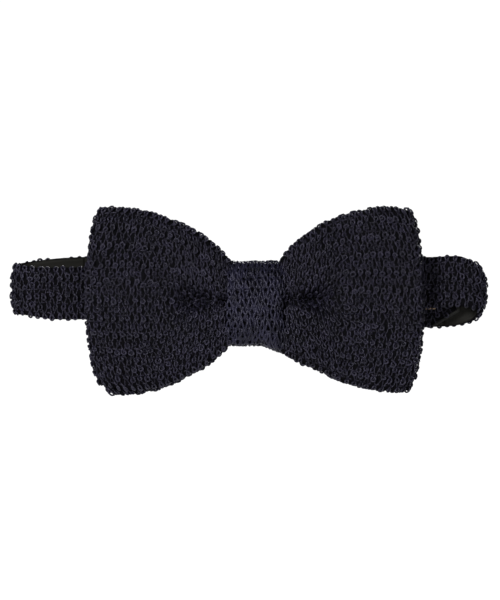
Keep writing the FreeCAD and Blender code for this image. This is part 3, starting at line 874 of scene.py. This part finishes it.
def add_stretch(name, maker, surface, start, end, held, place, node, slanted=None,
                pressed=lambda along: 0 * along):
    """The three layers of one stretch: loops, ground cloth and lining tape.

    node is the start of the names of the nodes that they replace. slanted gives the least distance across
    where an end is cut on a slant. pressed is how much something inside a turn presses the inner layers
    outward, from 0 to 1.
    """
    steps = max(int((end - start) / STRIP_STEP), 6)
    along = np.linspace(start, end, steps)
    loops = maker.build(name + "_yarn", BAND_YARN)
    layers = [loops]
    for label, look, half, height, thick, gives, columns in (
            ("cloth", GROUND_LOOK, BAND_HALF - 0.25, GROUND_HEIGHT, GROUND_THICK, 0.3, 15),
            ("tape", LINING_LOOK, BAND_HALF - 0.4, LINING_HEIGHT, LINING_THICK, 0.45, 19)):
        limits = even_limits(half, steps)
        if slanted is not None:
            limits[:, 0] = np.clip(slanted(along), -half, half - 1.0)
        layer = add_layer(f"{name}_{label}", look, surface, along, limits, height + gives * pressed(along),
                          thick, columns, place)
        layers.append(layer)
    place(loops)
    for layer, kind in zip(layers, ("band", "band", "lining")):
        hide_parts(f"{node}_{kind}")
    return layers


CORE_HALF, CORE_CLOTH_HALF = 11.5, 6.2    # half the length and width of the band's stretch inside the knot
FRONT_HEIGHT, FRONT_TILT = 5.2, math.radians(1.23)
LEFT_HEIGHT, LEFT_TILT = 11.17, math.radians(4.2)
RIGHT_HEIGHT, RIGHT_TILT = -5.24, math.radians(4.3)
HEM_RADIUS, HEM_BACK = 1.0, 5.2
FOLD_STRETCH_X = 60.0      # where the fold pieces meet the straight ones
TAIL_SLANT_LONG, TAIL_SLANT_RISE = 9.8, 5.3


def strand_height(rear_height, rear_tilt, turn_start, turn_long, ease):
    """The strip's middle height: one sloping line before the fold, another after it."""
    def height_at(plan, along):
        x = plan[:, 0]
        after = smooth((along - turn_start + ease) / (turn_long + 2 * ease))
        return ((FRONT_HEIGHT + x * math.sin(FRONT_TILT)) * (1 - after)
                + (rear_height + x * math.sin(rear_tilt)) * after)
    return height_at


def left_slack(turn_start):
    """The left band's front face hangs wider towards the wing; behind, its upper edge rides up."""
    def slack(x, along):
        front = 1 - smooth((along - turn_start + 4) / 8)
        outside = smooth((-x - 40) / 15)
        return 0.9 * outside * (1 - front), outside * front * (0.8 + 1.0 * smooth((x + 77) / 7))
    return slack


def right_slack(turn_start):
    """The right band's front face hangs a little wider beside the wing, at its upper edge."""
    def slack(x, along):
        front = 1 - smooth((along - turn_start + 4) / 8)
        return 1.1 * front * smooth((x - 40) / 12) * smooth((79 - x) / 8), 0 * x
    return slack


def at(x, y):
    return Vector((x * MM, y * MM, 0))


def riding(body):
    return lambda piece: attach(piece, body)


def blending():
    return lambda piece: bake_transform(piece)


def build_core():
    """The band's short stretch through the knot."""
    strip = Strip((-CORE_HALF, FRONT_Y + YARN_PROUD), 1, 1)
    strip.run_to(CORE_HALF)
    surface = strip.make(lambda plan, along: FRONT_HEIGHT + 0 * along, half=7.2)
    long = 2 * CORE_HALF
    along = np.linspace(0, long, 20)
    limits = even_limits(CORE_CLOTH_HALF, len(along))
    for label, look, height, thick, node in (
            ("cloth", GROUND_LOOK, GROUND_HEIGHT, 1.6, "neckband_centre"),
            ("tape", LINING_LOOK, LINING_HEIGHT, LINING_THICK, "neckband_centre_lining")):
        layer = add_layer(f"band_core_{label}", look, surface, along, limits, height, thick, 13,
                          riding("bow"))
        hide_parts(node)


def build_left():
    """The left half: front strand, fold, rear strand, and the hem that holds the hook."""
    radius = (LEFT_BACK_Y - FRONT_Y) / 2 - YARN_PROUD
    turn_x = LEFT_FOLD_X + radius + YARN_PROUD
    strip = Strip((-CORE_HALF, FRONT_Y + YARN_PROUD), -1, 1)
    strip.run_to(turn_x)
    strip.half_turn(radius)
    hem_turn_x = HEM_END_X - HEM_RADIUS - YARN_PROUD
    strip.run_to(hem_turn_x)
    strip.half_turn(HEM_RADIUS)
    strip.run_to(hem_turn_x - HEM_BACK)
    turn_start, turn_long = -CORE_HALF - turn_x, math.pi * radius
    surface = strip.make(strand_height(LEFT_HEIGHT, LEFT_TILT, turn_start, turn_long, ease=5.0),
                         folded=(turn_start, turn_long, 1.0), slack=left_slack(turn_start))
    first_cut = FOLD_STRETCH_X - CORE_HALF
    second_cut = turn_start + turn_long + (-FOLD_STRETCH_X - turn_x)
    end = surface.along[-1]
    stretches = [
        ("left_front", 0.0, first_cut, "left_front", "stretched",
         blending()),
        ("left_fold", first_cut, second_cut, "left_front", "folded",
         blending()),
        ("left_rear", second_cut, end, "left_rear", "stretched", riding("left_rear"))]
    makers = knit_strip(surface, stretches, lambda across: end - 0.3)
    for name, start, stop, node, held, place in stretches:
        layers = add_stretch(name, makers[name], surface, start, stop, held, place, node)
    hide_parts("hook_hem")


def build_right():
    """The right half: front strand, fold, main strand, the strap's turn through the eye, and its tail."""
    radius = (RIGHT_BACK_Y - FRONT_Y) / 2 - YARN_PROUD
    turn_x = RIGHT_FOLD_X - radius - YARN_PROUD
    strip = Strip((CORE_HALF, FRONT_Y + YARN_PROUD), 1, 1)
    strip.run_to(turn_x)
    strip.half_turn(radius)
    strip.run_to(STRAP_TURN_X)
    strip.half_turn(STRAP_TURN_RADIUS - YARN_PROUD)
    strip.run_to(TAIL_END_X)
    turn_start, turn_long = turn_x - CORE_HALF, math.pi * radius
    surface = strip.make(strand_height(RIGHT_HEIGHT, RIGHT_TILT, turn_start, turn_long, ease=7.0),
                         folded=(turn_start, turn_long, 2.6), slack=right_slack(turn_start))
    rear_start = turn_start + turn_long
    strap_turn = rear_start + turn_x - STRAP_TURN_X
    back_start = strap_turn + math.pi * (STRAP_TURN_RADIUS - YARN_PROUD)
    fold_cut = FOLD_STRETCH_X - CORE_HALF
    main_x, turn_cut_x = 66.0, 22.0
    slider_x = low("strap_tail_band")[0] + 0.8
    main_cut = rear_start + turn_x - main_x
    turn_cut = rear_start + turn_x - turn_cut_x
    back_cut = back_start + turn_cut_x - STRAP_TURN_X
    tail_cut = back_start + slider_x - STRAP_TURN_X
    end = back_start + TAIL_END_X - STRAP_TURN_X
    slant_top = TAIL_SLANT_RISE - BAND_HALF

    def end_at(across):
        """The tail's end is cut on a slant below a certain height."""
        return end - 0.5 - max(slant_top - across, 0.0) * TAIL_SLANT_LONG / TAIL_SLANT_RISE

    def slanted(steps):
        return slant_top + 0.9 + (steps - end) * TAIL_SLANT_RISE / TAIL_SLANT_LONG

    def pressed(steps):
        """The eye's bar fills the strap's turn."""
        return smooth((7.5 - np.abs(steps - (strap_turn + back_start) / 2)) / 2.5)

    stretches = [
        ("right_front", 0.0, fold_cut, "right_front", "stretched",
         blending()),
        ("right_fold", fold_cut, main_cut, "right_front", "folded",
         blending()),
        ("right_main", main_cut, turn_cut, "right_rear", "stretched",
         blending()),
        ("strap_turn", turn_cut, back_cut, "strap_loop", "folded", riding("strap_loop")),
        ("strap_return", back_cut, tail_cut, "strap_loop", "stretched",
         blending()),
        ("strap_tail", tail_cut, end, "strap_tail", "laid", riding("slider"))]
    makers = knit_strip(surface, stretches, end_at)
    for name, start, stop, node, held, place in stretches:
        slope = slanted if name == "strap_tail" else None
        stop = stop - 0.6 if name == "strap_tail" else stop
        add_stretch(name, makers[name], surface, start, stop, held, place, node, slope, pressed)
    build_tail_binding(surface, end - 0.5, slant_top)


def build_tail_binding(surface, end, slant_top):
    """The rolled binding along the tail's slanted end, and up its short straight end. Its pale satin is
    partly a painted highlight on that edge.
    """
    edge = BAND_HALF - 0.4
    slant_start = end - (slant_top + edge) * TAIL_SLANT_LONG / TAIL_SLANT_RISE
    along = np.concatenate([np.linspace(slant_start, end, 30), np.full(20, end)])
    across = np.concatenate([np.linspace(-edge, slant_top, 30), np.linspace(slant_top, edge, 21)[1:]])
    path, ups = surface.place(along, across, np.full(len(along), -0.35))
    maker = MeshMaker()
    lay_tube(whole(maker), path, ups, 0.55, 10, lengths(path), (0.0, 1.0))
    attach(maker.build("tail_binding", BINDING_AND_PAINTED_HIGHLIGHT), "slider")


build_core()
build_left()
build_right()


# -------------------- carried-over nodes

for names, material in (
        (("slider_frame", "clasp_eye", "clasp_hook"), NICKEL),
        (("gathering_thread", "wrap_seam", "slider_tack", "hook_tack"), NAVY_THREAD),
        (("edge_tack",), TAN_THREAD)):
    for name in names:
        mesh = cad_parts[name].data
        mesh.materials.clear()
        mesh.materials.append(material)


# -------------------- stage, light and camera

def build_stage():
    """A pale floor out of sight below, which glows only as far as the camera sees it."""
    material, tree, shader = new_material("pale_floor")
    seen = tree.nodes.new("ShaderNodeLightPath").outputs["Is Camera Ray"]
    put(tree, shader, {"Base Color": (0.9, 0.9, 0.9, 1), "Roughness": 0.9,
                       "Emission Color": (1, 1, 1, 1), "Emission Strength": seen})
    bpy.ops.mesh.primitive_plane_add(size=60, location=(0, 0, -0.2))
    floor = bpy.context.object
    floor.name = "floor"
    floor.data.materials.append(material)


def build_world():
    """A white surround to look at, and a dimmer one to be lit by."""
    world = bpy.data.worlds.new("surround")
    bpy.context.scene.world = world
    world.use_nodes = True
    tree = world.node_tree
    seen = tree.nodes["Background"]
    put(tree, seen, {"Color": (1, 1, 1, 1), "Strength": 1.05})
    lit = added(tree, "Background", {"Color": (0.95, 0.97, 1, 1), "Strength": 0.10})
    to_camera = tree.nodes.new("ShaderNodeLightPath").outputs["Is Camera Ray"]
    mix = added(tree, "MixShader", {0: to_camera, 1: lit.outputs[0], 2: seen.outputs[0]})
    put(tree, tree.nodes["World Output"], {"Surface": mix.outputs[0]})


def add_area_light(name, place, size, power):
    data = bpy.data.lights.new(name, "AREA")
    data.size, data.energy = size, power
    light = bpy.data.objects.new(name, data)
    light.location = place
    light.rotation_euler = (-Vector(place)).to_track_quat("-Z", "Y").to_euler()
    bpy.context.scene.collection.objects.link(light)


CAMERA_DISTANCE = 3.0
VIEW_TALL = 0.20884        # what the frame's height takes in, at the wings
VIEW_CENTRE = (-0.0019, 0.0007)


def build_camera():
    data = bpy.data.cameras.new("camera")
    camera = bpy.data.objects.new("camera", data)
    bpy.context.scene.collection.objects.link(camera)
    camera.location = (VIEW_CENTRE[0], WING_FRONT_Y * MM - CAMERA_DISTANCE, VIEW_CENTRE[1])
    camera.rotation_euler = (math.pi / 2, 0, 0)
    data.sensor_width = 36
    data.lens = data.sensor_width * CAMERA_DISTANCE / VIEW_TALL
    data.clip_start, data.clip_end = 0.1, 100
    bpy.context.scene.camera = camera


build_stage()
build_world()
add_area_light("key", (-0.75, -1.3, 0.40), 0.3, 27)
add_area_light("fill", (0.5, -1.4, 0.0), 0.5, 7)
add_area_light("back", (0.3, 1.4, 0.3), 0.8, 18)
build_camera()
bpy.context.scene.view_settings.view_transform = "Standard"
